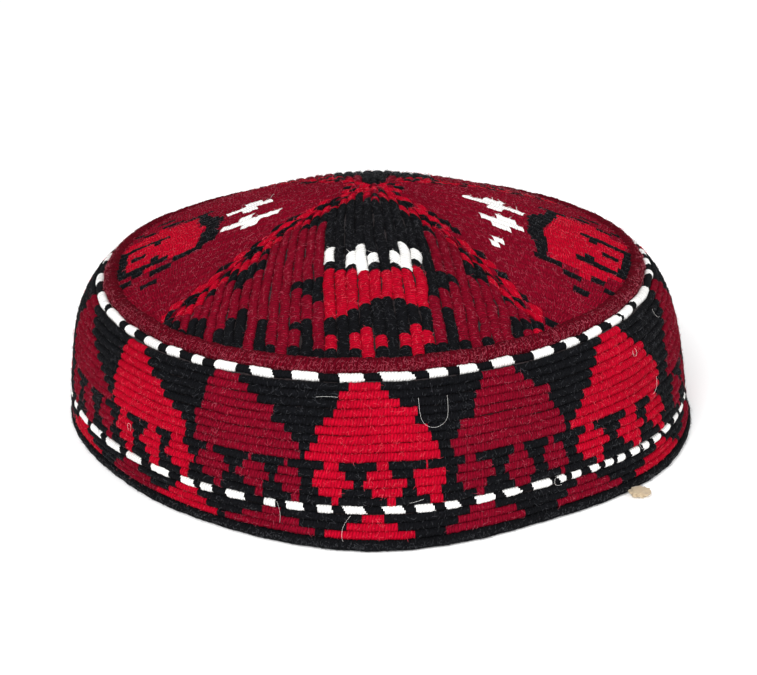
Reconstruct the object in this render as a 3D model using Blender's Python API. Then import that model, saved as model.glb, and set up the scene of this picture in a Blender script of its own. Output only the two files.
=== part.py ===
"""A corded and embroidered skullcap: a domed crown of four ribbed panels on an upright ribbed side band.

Metres, +Z up. The cap stands on its hem, and the origin is on the floor at the middle of its footprint.
The front of the cap faces -Y. Azimuths are in degrees from the front, growing towards +X.
"""

import math
from collections import namedtuple

import bmesh
import bpy
from mathutils import Matrix, Vector

# Main sizes of the cap's outer surface, each a mean over the azimuths
HEM_RADIUS = 0.0954
WAIST_RADIUS = 0.0940
RIM_RADIUS = 0.0842
WAIST_HEIGHT = 0.0110
RIM_HEIGHT = 0.0461
CROWN_RISE = 0.0273

# The wall and its cords
WALL = 0.0040
BAND_ROWS_ABOVE_WAIST = 14
BAND_ROWS_BELOW_WAIST = 3
BAND_RIB_DEPTH = 0.0008
CHECKED_CORD_RADIUS = 0.00135
LOWER_CORD_RADIUS = 0.00105
PIPING_RADIUS = 0.0023
PIPING_DROP = 0.00125
HEM_HEIGHT = 0.0034
HEM_ROUNDING = 0.0008

# The crown's panels
CROWN_WALL = 0.0032
CROWN_RIB_PITCH = 0.00345
CROWN_RIB_DEPTH = 0.0009
CROWN_POWER = 1.53
FAN_POWER = 0.86

# The scrap of lining that shows under the hem
SCRAP_AZIMUTH = 50.0
SCRAP_LENGTH = 0.0060
SCRAP_REACH = 0.0042
SCRAP_THICKNESS = 0.0016
SCRAP_BEVEL = 0.0005

# Fits
GAP = 0.0003

# How the side leans in: this share evenly from the waist up, and the rest at the shoulder
EVEN_LEAN = 0.35
SHOULDER_POWER = 5

# The right side of the rim stands a little higher: rise per metre of X
RIM_SLOPE = 0.014

# Mesh steps
SEGMENTS = 48
PROFILE_STEPS = 240
RIB_STEPS = 4
INNER_STEPS = 2
CORD_SIDES = 6
PIPING_SIDES = 8

# The plan of the worn cap: radii at each azimuth, as shares of the mean radii
Plan = namedtuple("Plan", "azimuth rim waist hem")
PLAN = (
    Plan(0, 1.006, 1.034, 1.048),
    Plan(30, 0.991, 0.989, 0.990),
    Plan(60, 0.985, 1.015, 1.013),
    Plan(90, 0.993, 1.009, 1.011),
    Plan(120, 0.996, 0.998, 1.008),
    Plan(150, 1.000, 0.998, 1.007),
    Plan(180, 1.004, 1.000, 1.008),
    Plan(210, 1.004, 1.001, 1.007),
    Plan(240, 1.011, 1.000, 1.000),
    Plan(270, 0.994, 0.993, 0.979),
    Plan(300, 0.994, 0.976, 0.944),
    Plan(330, 1.010, 0.996, 0.979),
)

# The crown's panels: the azimuths of their two mitres and of the ribs' middle line
Panel = namedtuple("Panel", "name start middle end")
PANELS = (
    Panel("crown_panel_front", -51.0, 4.0, 38.5),
    Panel("crown_panel_right", 38.5, 83.0, 128.0),
    Panel("crown_panel_back", 128.0, 178.0, 221.0),
    Panel("crown_panel_left", 221.0, 271.0, 309.0),
)

# Soft dents in the crown: place, as azimuth and share of the crown's radius, reach and depth
Dent = namedtuple("Dent", "azimuth radius_share reach depth")
DENTS = (
    Dent(252.0, 0.72, 0.016, 0.0012),
    Dent(20.0, 0.30, 0.012, 0.0006),
    Dent(140.0, 0.55, 0.020, 0.0008),
)

Finish = namedtuple("Finish", "colour roughness")
BLACK_WOOL = Finish((0.012, 0.013, 0.016), 0.9)
MAROON_WOOL = Finish((0.21, 0.008, 0.022), 0.85)
PIPING_WOOL = Finish((0.18, 0.006, 0.014), 0.95)
WHITE_COTTON = Finish((0.80, 0.78, 0.76), 0.8)
LINING_COTTON = Finish((0.50, 0.38, 0.24), 0.9)


def smooth_step(share):
    """Eases a share from 0 to 1, level at both ends."""
    share = min(1.0, max(0.0, share))
    return share * share * (3.0 - 2.0 * share)


def share_at(azimuth, column):
    """One of the plan's shares at any azimuth, on a smooth closed curve through the table's rows."""
    step = 360.0 / len(PLAN)
    place = (azimuth % 360.0) / step
    row = int(place)
    t = place - row
    p = [getattr(PLAN[(row + k) % len(PLAN)], column) for k in (-1, 0, 1, 2)]
    bend = 2 * p[0] - 5 * p[1] + 4 * p[2] - p[3]
    twist = 3 * (p[1] - p[2]) + p[3] - p[0]
    return p[1] + 0.5 * t * (p[2] - p[0] + t * (bend + t * twist))


def side_radius(height):
    """Mean outer radius of the side at a height."""
    if height < WAIST_HEIGHT:
        return HEM_RADIUS + (WAIST_RADIUS - HEM_RADIUS) * max(0.0, height) / WAIST_HEIGHT
    t = (height - WAIST_HEIGHT) / (RIM_HEIGHT - WAIST_HEIGHT)
    lean = EVEN_LEAN * t + (1.0 - EVEN_LEAN) * t**SHOULDER_POWER
    return WAIST_RADIUS + (RIM_RADIUS - WAIST_RADIUS) * lean


def plan_growth(azimuth, height):
    """What the plan adds to the mean radius at a height. It doesn't change above the rim."""
    waist = WAIST_RADIUS * (share_at(azimuth, "waist") - 1.0)
    if height < WAIST_HEIGHT:
        hem = HEM_RADIUS * (share_at(azimuth, "hem") - 1.0)
        return hem + (waist - hem) * smooth_step(height / WAIST_HEIGHT)
    rim = RIM_RADIUS * (share_at(azimuth, "rim") - 1.0)
    return waist + (rim - waist) * smooth_step(
        (height - WAIST_HEIGHT) / (RIM_HEIGHT - WAIST_HEIGHT)
    )


def placed(radius, height, azimuth, inward=1.0):
    """The point of the cap at a mean radius and a height. inward fades the plan's growth towards the crown's middle."""
    angle = math.radians(azimuth)
    grown = radius + plan_growth(azimuth, height) * inward
    x = grown * math.sin(angle)
    lean = RIM_SLOPE * x * smooth_step((height - WAIST_HEIGHT) / (RIM_HEIGHT - WAIST_HEIGHT))
    return Vector((x, -grown * math.cos(angle), height + lean))


class Profile:
    """The side's mean outline, measured along its length from the floor up to the rim, and on past it."""

    def __init__(self):
        heights = [RIM_HEIGHT * k / PROFILE_STEPS for k in range(PROFILE_STEPS + 1)]
        self.points = [Vector((side_radius(h), h)) for h in heights]
        self.lengths = [0.0]
        for low, high in zip(self.points, self.points[1:]):
            self.lengths.append(self.lengths[-1] + (high - low).length)
        self.rim = self.lengths[-1]
        self.waist = self.length_at(WAIST_HEIGHT)

    def length_at(self, height):
        """The length along the outline at which it reaches a height."""
        return self.lengths[round(height / RIM_HEIGHT * PROFILE_STEPS)]

    def at(self, length, depth=0.0):
        """(radius, height) of a point this far along the outline and this deep under it."""
        last = PROFILE_STEPS - 1
        k = next((i for i in range(last) if self.lengths[i + 1] > length), last)
        along = (self.points[k + 1] - self.points[k]).normalized()
        point = self.points[k] + along * (length - self.lengths[k])
        return point + Vector((-along.y, along.x)) * depth


PROFILE = Profile()
ROW = (PROFILE.rim - CHECKED_CORD_RADIUS - GAP - PROFILE.waist) / (BAND_ROWS_ABOVE_WAIST + 0.5)
BAND_FOOT = HEM_HEIGHT + 2 * GAP
LOWER_ROW = (PROFILE.waist - ROW / 2 - BAND_FOOT) / BAND_ROWS_BELOW_WAIST
PIPING_DEPTH = CHECKED_CORD_RADIUS + PIPING_DROP
PIPING_STEP = CHECKED_CORD_RADIUS + PIPING_RADIUS + GAP
PIPING_ALONG = PROFILE.rim + math.sqrt(PIPING_STEP**2 - PIPING_DROP**2)
PIPING_CENTRE = PROFILE.at(PIPING_ALONG, PIPING_DEPTH)
CROWN_EDGE = PIPING_CENTRE.x - PIPING_RADIUS - GAP


def azimuth_turn(azimuth):
    """The plane rotation of an azimuth."""
    return Matrix.Rotation(math.radians(azimuth), 2)


def crown_height(radius, azimuth):
    """Height of the crown's outer surface over the floor at a mean radius, dents included."""
    fall = (radius / RIM_RADIUS) ** CROWN_POWER
    height = RIM_HEIGHT + CROWN_RISE * (1.0 - fall)
    here = Vector((radius, 0.0))
    here.rotate(azimuth_turn(azimuth))
    for dent in DENTS:
        middle = Vector((dent.radius_share * RIM_RADIUS, 0.0))
        middle.rotate(azimuth_turn(dent.azimuth))
        away = (here - middle).length / dent.reach
        height -= dent.depth * math.exp(-away * away)
    return height


def new_object(name, bm, finish):
    """Makes a named object of a bmesh, with its own material, shaded smooth but for its sharp edges."""
    bmesh.ops.recalc_face_normals(bm, faces=bm.faces)
    mesh = bpy.data.meshes.new(name)
    bm.to_mesh(mesh)
    bm.free()
    material = bpy.data.materials.new(name)
    material.use_nodes = True
    surface = material.node_tree.nodes["Principled BSDF"]
    surface.inputs["Base Color"].default_value = (*finish.colour, 1.0)
    surface.inputs["Roughness"].default_value = finish.roughness
    mesh.materials.append(material)
    mesh.shade_smooth()
    mesh.set_sharp_from_angle(angle=math.radians(40.0))
    obj = bpy.data.objects.new(name, mesh)
    bpy.context.scene.collection.objects.link(obj)
    return obj


def ring(name, section, finish):
    """Spins a closed section of (radius, height) points round the cap and gives it the worn plan."""
    bm = bmesh.new()
    corners = [bm.verts.new((radius, 0.0, height)) for radius, height in section]
    edges = [bm.edges.new((a, b)) for a, b in zip(corners, corners[1:] + corners[:1])]
    bmesh.ops.spin(
        bm,
        geom=corners + edges,
        cent=(0.0, 0.0, 0.0),
        axis=(0.0, 0.0, 1.0),
        angle=math.tau,
        steps=SEGMENTS,
        use_merge=True,
    )
    for vert in bm.verts:
        azimuth = math.degrees(math.atan2(vert.co.x, -vert.co.y))
        vert.co = placed(math.hypot(vert.co.x, vert.co.y), vert.co.z, azimuth)
    return new_object(name, bm, finish)


def round_section(centre, radius, sides):
    """A round cord's section: points at an even turn about its centre."""
    turns = [math.tau * (k + 0.5) / sides for k in range(sides)]
    return [(centre.x + radius * math.cos(t), centre.y + radius * math.sin(t)) for t in turns]


def band_section():
    """The side band's section: its ribs outside, the bed of the lower cord, the ledge of the upper, and the inner wall."""
    outline = [Vector((PROFILE.at(BAND_FOOT, BAND_RIB_DEPTH).x, BAND_FOOT))]
    for row in range(BAND_ROWS_BELOW_WAIST):
        if row > 0:
            outline.append(PROFILE.at(BAND_FOOT + row * LOWER_ROW, BAND_RIB_DEPTH))
        outline.append(PROFILE.at(BAND_FOOT + (row + 0.5) * LOWER_ROW))
    bed = 2.0 * LOWER_CORD_RADIUS + GAP
    for along in (PROFILE.waist - ROW / 2, PROFILE.waist + ROW / 2):
        depths = (BAND_RIB_DEPTH, bed) if along < PROFILE.waist else (bed, BAND_RIB_DEPTH)
        outline += [PROFILE.at(along, depth) for depth in depths]
    for row in range(BAND_ROWS_ABOVE_WAIST):
        start = PROFILE.waist + (row + 0.5) * ROW
        outline.append(PROFILE.at(start + ROW / 2))
        outline.append(PROFILE.at(start + ROW, BAND_RIB_DEPTH))
    ledge = 2.0 * CHECKED_CORD_RADIUS + GAP
    outline.append(PROFILE.at(PROFILE.rim - CHECKED_CORD_RADIUS - GAP, ledge))
    for depth in (ledge, WALL):
        below_piping = math.sqrt((PIPING_RADIUS + GAP) ** 2 - (depth - PIPING_DEPTH) ** 2)
        outline.append(PROFILE.at(PIPING_ALONG - below_piping - GAP / 2, depth))
    for height_share in (0.75, 0.4):
        outline.append(PROFILE.at(PROFILE.rim * height_share, WALL))
    outline.append(Vector((PROFILE.at(BAND_FOOT, WALL).x, BAND_FOOT)))
    return outline


def hem_section():
    """The hem binding's section: a flat foot on the floor, round shoulders and a level top under the band."""
    outer = HEM_RADIUS + GAP
    inner = HEM_RADIUS - WALL - GAP
    r = HEM_ROUNDING
    return [
        (inner + r, 0.0),
        (outer - r, 0.0),
        (outer, r),
        (outer, HEM_HEIGHT - r),
        (outer - r, HEM_HEIGHT),
        (inner + r, HEM_HEIGHT),
        (inner, HEM_HEIGHT - r),
        (inner, r),
    ]


def rib_lines(panel):
    """The lines that a panel's grid follows: the ribs' crests at whole numbers, the valleys at halves, and the two corners."""
    before = math.radians(panel.middle - panel.start) * CROWN_EDGE / CROWN_RIB_PITCH
    after = math.radians(panel.end - panel.middle) * CROWN_EDGE / CROWN_RIB_PITCH
    first = math.ceil((-before + 0.3) * 2)
    last = math.floor((after - 0.3) * 2)
    return -before, [k / 2 for k in range(first, last + 1)], after


def rib_start(panel, line):
    """The radius at which a line leaves its mitre."""
    span = panel.end - panel.middle if line > 0 else panel.middle - panel.start
    reach = abs(line) * CROWN_RIB_PITCH / math.radians(span)
    return (reach / CROWN_EDGE ** (1.0 - FAN_POWER)) ** (1.0 / FAN_POWER)


def rib_point(panel, line, radius, depth):
    """A point on a rib's line at a radius, this deep under the crown's outer surface."""
    turn = 0.0
    if radius > 0.0:
        arc = radius**FAN_POWER * CROWN_EDGE ** (1.0 - FAN_POWER)
        turn = math.degrees(line * CROWN_RIB_PITCH / arc)
    azimuth = panel.middle + turn
    height = crown_height(radius, azimuth) - depth
    flat = Vector((radius, 0.0))
    flat.rotate(azimuth_turn(azimuth))
    inward = (radius / CROWN_EDGE) ** 2
    growth = plan_growth(azimuth, RIM_HEIGHT) * inward
    angle = math.radians(azimuth)
    x = (radius + growth) * math.sin(angle)
    y = -(radius + growth) * math.cos(angle)
    return Vector((x, y, height + RIM_SLOPE * x))


def crown_panel(panel, finish):
    """One wedge of the crown: a shell with ribs that fan from its middle line, cut along both mitres and at the rim."""
    left, lines, right = rib_lines(panel)
    bisector = math.radians((panel.start + panel.end) / 2)
    half_span = math.radians((panel.end - panel.start) / 2)
    clear = GAP / 2 / math.sin(half_span)
    away = Vector((math.sin(bisector), -math.cos(bisector), 0.0)) * clear
    rim = CROWN_EDGE - clear
    bm = bmesh.new()

    def column(line, steps, depth):
        start = min(rib_start(panel, line), rim)
        radii = [start + (rim - start) * k / steps for k in range(steps + 1)]
        return [bm.verts.new(rib_point(panel, line, r, depth) + away) for r in radii]

    def skin(steps, depth_of):
        """The columns of one side of the shell, a single point at each corner."""
        columns = []
        for line in (left, right):
            columns.append([bm.verts.new(rib_point(panel, line, rim, depth_of(line)) + away)])
        columns[1:1] = [column(line, steps, depth_of(line)) for line in lines]
        for a, b in zip(columns, columns[1:]):
            for k in range(steps):
                quad = [a[min(k, len(a) - 1)], a[min(k + 1, len(a) - 1)]]
                quad += [b[min(k + 1, len(b) - 1)], b[min(k, len(b) - 1)]]
                bm.faces.new(list(dict.fromkeys(quad)))
        return columns

    outer = skin(RIB_STEPS, lambda line: CROWN_RIB_DEPTH * (line % 1.0 != 0.0))
    inner = skin(INNER_STEPS, lambda line: CROWN_WALL)
    for (a, b), (c, d) in zip(zip(outer, outer[1:]), zip(inner, inner[1:])):
        bm.faces.new((a[0], b[0], d[0], c[0]))
        bm.faces.new((a[-1], b[-1], d[-1], c[-1]))
    return new_object(panel.name, bm, finish)


def lining_scrap(finish):
    """A folded bit of lining that lies on the floor against the outside of the hem."""
    bm = bmesh.new()
    bmesh.ops.create_cube(bm, size=1.0)
    bmesh.ops.scale(bm, vec=(SCRAP_LENGTH, SCRAP_REACH, SCRAP_THICKNESS), verts=bm.verts)
    bmesh.ops.bevel(
        bm, geom=list(bm.edges), offset=SCRAP_BEVEL, segments=2, profile=0.5, affect="EDGES"
    )
    obj = new_object("lining_scrap", bm, finish)
    edge = placed(HEM_RADIUS + 3 * GAP + SCRAP_REACH / 2, 0.0, SCRAP_AZIMUTH)
    obj.location = (edge.x, edge.y, SCRAP_THICKNESS / 2 + GAP / 2)
    obj.rotation_euler = (0.0, 0.0, math.radians(SCRAP_AZIMUTH))
    return obj


def centre_on_footprint(objects):
    """Moves every object so that the origin is at the middle of the cap's box."""
    bpy.context.view_layer.update()
    corners = [obj.matrix_world @ Vector(c) for obj in objects for c in obj.bound_box]
    middle = [(min(c[i] for c in corners) + max(c[i] for c in corners)) / 2 for i in (0, 1)]
    for obj in objects:
        obj.location.x -= middle[0]
        obj.location.y -= middle[1]


def main():
    """Builds the cap's pieces from the floor up."""
    for old in list(bpy.data.objects):
        bpy.data.objects.remove(old)
    upper = PROFILE.at(PROFILE.rim, CHECKED_CORD_RADIUS)
    lower = PROFILE.at(PROFILE.waist, LOWER_CORD_RADIUS)
    pieces = [
        ring("hem_binding", hem_section(), BLACK_WOOL),
        ring("side_band", band_section(), BLACK_WOOL),
        ring("lower_checked_cord", round_section(lower, LOWER_CORD_RADIUS, CORD_SIDES), WHITE_COTTON),
        ring("upper_checked_cord", round_section(upper, CHECKED_CORD_RADIUS, CORD_SIDES), WHITE_COTTON),
        ring("crown_piping", round_section(PIPING_CENTRE, PIPING_RADIUS, PIPING_SIDES), PIPING_WOOL),
        lining_scrap(LINING_COTTON),
    ]
    pieces += [crown_panel(panel, MAROON_WOOL) for panel in PANELS]
    centre_on_footprint(pieces)


main()
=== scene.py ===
"""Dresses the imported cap: embroidery cords, checked cords, wool piping, bound hem, lining and loose hairs.

Metres, +Z up. The cap stands on its hem with its front towards -Y. Azimuths are in degrees from the
front, growing towards +X. A place on the side is measured along its outline from the floor up, and then in
depth under its surface; a place on the crown by its panel, its rib and its radius.
"""

from __future__ import annotations

import logging
import math
from dataclasses import dataclass, field
from enum import Enum

import bpy
import numpy as np
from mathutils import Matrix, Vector

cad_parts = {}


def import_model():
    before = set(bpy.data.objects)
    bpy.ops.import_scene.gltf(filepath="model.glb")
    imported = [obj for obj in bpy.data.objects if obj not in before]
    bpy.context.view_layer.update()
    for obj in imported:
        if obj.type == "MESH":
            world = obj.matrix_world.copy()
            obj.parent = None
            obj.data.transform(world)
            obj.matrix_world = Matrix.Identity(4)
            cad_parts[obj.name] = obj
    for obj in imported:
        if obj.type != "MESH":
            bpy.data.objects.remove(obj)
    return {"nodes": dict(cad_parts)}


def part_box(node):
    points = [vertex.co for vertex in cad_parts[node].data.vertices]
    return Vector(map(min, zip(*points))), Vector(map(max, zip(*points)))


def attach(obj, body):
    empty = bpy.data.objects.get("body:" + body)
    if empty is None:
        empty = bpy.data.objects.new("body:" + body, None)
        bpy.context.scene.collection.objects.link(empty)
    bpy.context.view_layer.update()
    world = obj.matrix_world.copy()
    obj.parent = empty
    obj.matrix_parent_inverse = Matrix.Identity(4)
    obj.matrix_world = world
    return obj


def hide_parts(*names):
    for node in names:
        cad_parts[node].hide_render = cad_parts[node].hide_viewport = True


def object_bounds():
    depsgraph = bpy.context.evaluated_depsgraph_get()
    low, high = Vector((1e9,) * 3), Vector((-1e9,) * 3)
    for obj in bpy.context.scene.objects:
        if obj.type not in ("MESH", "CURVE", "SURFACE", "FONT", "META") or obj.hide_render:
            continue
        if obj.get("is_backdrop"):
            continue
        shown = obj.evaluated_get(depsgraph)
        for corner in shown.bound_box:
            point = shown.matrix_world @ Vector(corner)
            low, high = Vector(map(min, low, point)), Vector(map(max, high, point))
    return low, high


LOG = logging.getLogger("cap")
MM = 0.001
FLAT_PROFILE_STEPS = 480


class Thread(Enum):
    """The wool that a stretch of cord is wrapped in."""

    BLACK = 0
    BRIGHT_RED = 1
    MAROON = 2
    WHITE = 3


@dataclass(frozen=True)
class WrapFinish:
    """A thread wrapped round a cord: its colour, its fuzz and how coarse its turns are."""

    name: str
    colour: tuple[float, float, float]
    fuzz: tuple[float, float, float]
    fuzz_share: float = 0.5
    roughness: float = 0.9
    sheen: float = 0.0
    specular: float = 0.03
    turn_mm: float = 0.85
    slant: float = 0.18
    relief_mm: float = 0.26
    shade_range: float = 0.60

    def material(self) -> bpy.types.Material:
        """Builds the wrapped thread's material on the cord's own UV map, which is in millimetres.

        Returns:
            The material, with a slanting turn of thread for each step along the cord, and painted shade
            darkening the grooves between turns.
        """
        made = NodeSheet(self.name)
        place = made.node("ShaderNodeUVMap")
        place.uv_map = "cord"
        leaning = made.node("ShaderNodeMapping")
        leaning.inputs["Rotation"].default_value = (0.0, 0.0, self.slant)
        made.join(place, "UV", leaning, "Vector")
        turns = made.node("ShaderNodeTexWave", Scale=0.31416 / self.turn_mm, Distortion=3.0, Detail=2.0)
        turns.inputs["Detail Scale"].default_value = 1.1
        turns.bands_direction = "X"
        made.join(leaning, "Vector", turns, "Vector")
        across = made.node("ShaderNodeMapping")
        across.inputs["Scale"].default_value = (4.2, 0.75, 1.0)
        made.join(leaning, "Vector", across, "Vector")
        strands = made.noise(across, "Vector", scale=1.0, detail=4.0, roughness=0.7)
        specks = made.noise(across, "Vector", scale=1.9, detail=5.0, roughness=0.8)
        solid = made.node("ShaderNodeTexCoord")
        fading = made.noise(solid, "Object", scale=55.0, detail=4.0, roughness=0.65)
        shade = made.ramp(strands, 0.34, 1.0 - self.shade_range, 0.66, 1.0 + self.shade_range * 0.7)
        fade = made.ramp(fading, 0.3, 0.84, 0.7, 1.12)
        # Painted shade: the thread's colour is darkened in the grooves between its turns, where shade falls.
        painted_groove_shade = made.ramp(turns, 0.0, 0.66, 0.55, 1.05)
        dark = made.math("MULTIPLY", made.math("MULTIPLY", shade, fade), painted_groove_shade)
        coloured = made.node("ShaderNodeMix", data_type="RGBA", blend_type="MULTIPLY")
        coloured.inputs[0].default_value = 1.0
        coloured.inputs[6].default_value = (*self.colour, 1.0)
        made.link(dark.outputs[0], coloured.inputs[7])
        fuzzy = made.node("ShaderNodeMix", data_type="RGBA")
        fuzzy.inputs[7].default_value = (*self.fuzz, 1.0)
        made.link(coloured.outputs[2], fuzzy.inputs[6])
        made.link(made.ramp(specks, 0.55, 0.0, 0.70, self.fuzz_share).outputs[0], fuzzy.inputs[0])
        made.link(fuzzy.outputs[2], made.surface.inputs["Base Color"])
        height = made.math("ADD", made.math("MULTIPLY", turns, 0.8), made.math("MULTIPLY", strands, 1.3))
        made.bump(height, self.relief_mm * MM)
        made.surface.inputs["Roughness"].default_value = self.roughness
        made.surface.inputs["Sheen Weight"].default_value = self.sheen
        made.surface.inputs["Sheen Roughness"].default_value = 0.5
        made.surface.inputs["Sheen Tint"].default_value = (*self.fuzz, 1.0)
        made.surface.inputs["Specular IOR Level"].default_value = self.specular
        return made.material


@dataclass(frozen=True)
class ClothFinish:
    """A plain cloth or felted wool, patterned on Object coordinates: its colour, weave or nap, and wear."""

    name: str
    colour: tuple[float, float, float]
    worn: tuple[float, float, float]
    weave_mm: float = 0.5
    relief_mm: float = 0.08
    roughness: float = 0.9
    sheen: float = 0.2

    def material(self) -> bpy.types.Material:
        """Builds the cloth's material.

        Returns:
            The material, with a fine woven grain and slow changes of shade.
        """
        made = NodeSheet(self.name)
        solid = made.node("ShaderNodeTexCoord")
        grain = made.noise(solid, "Object", scale=1.0 / (self.weave_mm * MM), detail=3.0, roughness=0.6)
        wear = made.noise(solid, "Object", scale=70.0, detail=4.0, roughness=0.65)
        cells = made.node("ShaderNodeTexVoronoi", Scale=0.7 / (self.weave_mm * MM))
        made.join(solid, "Object", cells, "Vector")
        mixed = made.node("ShaderNodeMix", data_type="RGBA")
        mixed.inputs[6].default_value = (*self.colour, 1.0)
        mixed.inputs[7].default_value = (*self.worn, 1.0)
        worn = made.ramp(wear, 0.35, 0.0, 0.75, 0.8)
        share = made.math("MULTIPLY", worn, made.ramp(grain, 0.3, 0.3, 0.7, 1.0))
        made.link(share.outputs[0], mixed.inputs[0])
        made.link(mixed.outputs[2], made.surface.inputs["Base Color"])
        height = made.math("ADD", grain, cells)
        made.bump(height, self.relief_mm * MM)
        made.surface.inputs["Roughness"].default_value = self.roughness
        made.surface.inputs["Sheen Weight"].default_value = self.sheen
        made.surface.inputs["Specular IOR Level"].default_value = 0.2
        return made.material


class NodeSheet:
    """A new material and short ways to lay out its nodes."""

    def __init__(self, name: str) -> None:
        """Makes the material with its Principled shader.

        Args:
            name: the material's name.
        """
        self.material = bpy.data.materials.new(name)
        self.material.use_nodes = True
        self.tree = self.material.node_tree
        self.surface = self.tree.nodes["Principled BSDF"]

    def node(self, kind: str, data_type: str = "", blend_type: str = "", **values: float) -> bpy.types.Node:
        """Adds a node.

        Args:
            kind: the node's type.
            data_type: what a Mix node mixes, if it is one.
            blend_type: how a Mix node mixes, if it is one.
            **values: constants for its input sockets, by name.

        Returns:
            The node.
        """
        made = self.tree.nodes.new(kind)
        if data_type:
            made.data_type = data_type
        if blend_type:
            made.blend_type = blend_type
        for name, value in values.items():
            made.inputs[name].default_value = value
        return made

    def link(self, start: bpy.types.NodeSocket, end: bpy.types.NodeSocket) -> None:
        """Links two sockets."""
        self.tree.links.new(start, end)

    def join(self, source: bpy.types.Node, output: str, target: bpy.types.Node, socket: str) -> None:
        """Links a node's named output to another's named input."""
        self.link(source.outputs[output], target.inputs[socket])

    def noise(
        self, source: bpy.types.Node, output: str, scale: float, detail: float, roughness: float
    ) -> bpy.types.Node:
        """Adds a noise texture that reads the given coordinates."""
        made = self.node("ShaderNodeTexNoise", Scale=scale, Detail=detail, Roughness=roughness)
        self.join(source, output, made, "Vector")
        return made

    def ramp(
        self, source: bpy.types.Node, low: float, at_low: float, high: float, at_high: float
    ) -> bpy.types.Node:
        """Maps a texture's value from one range to another, held level outside it.

        Args:
            source: the node whose value is mapped.
            low: the value that becomes at_low.
            at_low: the result at the low end.
            high: the value that becomes at_high.
            at_high: the result at the high end.

        Returns:
            The Map Range node.
        """
        made = self.node("ShaderNodeMapRange")
        made.inputs["From Min"].default_value = low
        made.inputs["From Max"].default_value = high
        made.inputs["To Min"].default_value = at_low
        made.inputs["To Max"].default_value = at_high
        self.link(self.value_of(source), made.inputs["Value"])
        return made

    def math(self, operation: str, first: bpy.types.Node, second: bpy.types.Node | float) -> bpy.types.Node:
        """Adds a math node of two inputs."""
        made = self.node("ShaderNodeMath")
        made.operation = operation
        self.link(self.value_of(first), made.inputs[0])
        if isinstance(second, bpy.types.Node):
            self.link(self.value_of(second), made.inputs[1])
        else:
            made.inputs[1].default_value = second
        return made

    def value_of(self, source: bpy.types.Node) -> bpy.types.NodeSocket:
        """The output of a node that holds its value."""
        for name in ("Fac", "Result", "Value", "Distance"):
            if name in source.outputs:
                return source.outputs[name]
        return source.outputs[0]

    def bump(self, height: bpy.types.Node, distance: float) -> None:
        """Gives the surface a relief of this height in metres."""
        made = self.node("ShaderNodeBump", Strength=1.0, Distance=distance)
        self.link(self.value_of(height), made.inputs["Height"])
        self.link(made.outputs["Normal"], self.surface.inputs["Normal"])


WRAPS = {
    Thread.BLACK: WrapFinish(
        "black_thread", (0.0034, 0.0036, 0.0050), (0.027, 0.029, 0.037), 0.60, roughness=0.85, specular=0.07,
        shade_range=0.85,
    ),
    Thread.BRIGHT_RED: WrapFinish(
        "bright_red_thread", (0.455, 0.0014, 0.017), (0.62, 0.022, 0.062), 0.42, shade_range=0.42
    ),
    Thread.MAROON: WrapFinish("maroon_thread", (0.200, 0.0018, 0.0135), (0.37, 0.028, 0.064), 0.50),
    Thread.WHITE: WrapFinish(
        "white_thread", (0.90, 0.89, 0.87), (0.97, 0.96, 0.95), 0.30, shade_range=0.12, relief_mm=0.12
    ),
}
FIBRES = {
    Thread.BLACK: ClothFinish("black_fibre", (0.030, 0.032, 0.038), (0.09, 0.09, 0.10)),
    Thread.BRIGHT_RED: ClothFinish("bright_red_fibre", (0.72, 0.030, 0.060), (0.85, 0.12, 0.16)),
    Thread.MAROON: ClothFinish("maroon_fibre", (0.34, 0.030, 0.060), (0.55, 0.12, 0.16)),
    Thread.WHITE: ClothFinish("white_fibre", (0.88, 0.86, 0.82), (0.95, 0.94, 0.92)),
}
PIPING_WOOL = WrapFinish(
    "piping_wool", (0.112, 0.0014, 0.0080), (0.24, 0.014, 0.030), 0.60, turn_mm=1.1, relief_mm=0.34, sheen=0.0
)
HEM_WOOL = WrapFinish(
    "hem_wool", (0.0046, 0.0048, 0.0060), (0.05, 0.05, 0.055), 0.5, turn_mm=1.0, relief_mm=0.25
)
# Painted shade: the cloth's outside is near-black where it shows between the cords, standing in for the shade
# there.
CORD_GAP_SHADE_CLOTH = ClothFinish("shade_painted_ground_cloth", (0.012, 0.008, 0.009), (0.03, 0.015, 0.016))
LINING_COTTON = ClothFinish("lining_cotton", (0.50, 0.40, 0.27), (0.36, 0.27, 0.17), weave_mm=0.6)


@dataclass(frozen=True)
class Plan:
    """The worn cap's outline seen from above: shares of the mean radii at one azimuth."""

    azimuth: float
    rim: float
    waist: float
    hem: float


@dataclass(frozen=True)
class Dent:
    """A soft dent in the crown: its azimuth, its share of the crown's radius, its reach and its depth."""

    azimuth: float
    radius_share: float
    reach: float
    depth: float


@dataclass(frozen=True)
class Panel:
    """A crown panel: the azimuths of its two mitres and of its ribs' middle line."""

    name: str
    start: float
    middle: float
    end: float


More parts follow.
